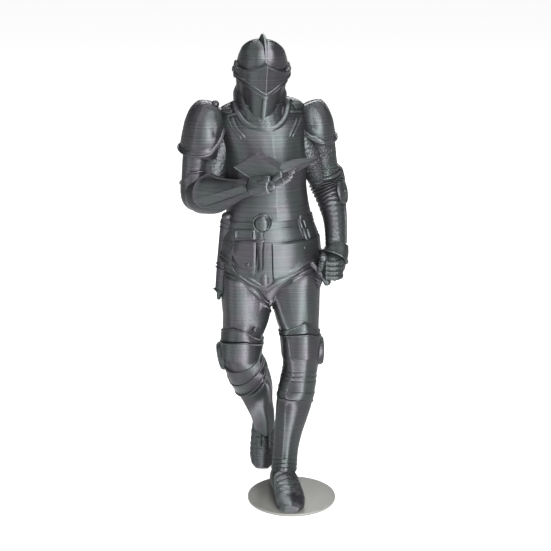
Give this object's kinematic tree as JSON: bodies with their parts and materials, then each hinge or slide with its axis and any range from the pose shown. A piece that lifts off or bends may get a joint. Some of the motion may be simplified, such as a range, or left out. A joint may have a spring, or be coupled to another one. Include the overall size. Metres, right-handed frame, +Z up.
{
  "type": "medieval knight statue",
  "caption": "Armoured knight in a closed helmet who strolls along reading an open book, printed in dark grey on a thin round base.",
  "frame": {"origin": "centre of the round base's underside", "axes": "+Z up, the figure strolls and looks towards -Y, its left hand is towards +X"},
  "size_m": [0.0738, 0.0797, 0.2092],
  "materials": {
    "figure_plastic": "dark gunmetal grey printed plastic with a silky metallic shine and fine horizontal layer lines",
    "base_plastic": "lighter grey printed plastic, matt"
  },
  "bodies": {
    "root": {"knight_figure": "figure_plastic", "round_base": "base_plastic"}
  },
  "joints": []
}
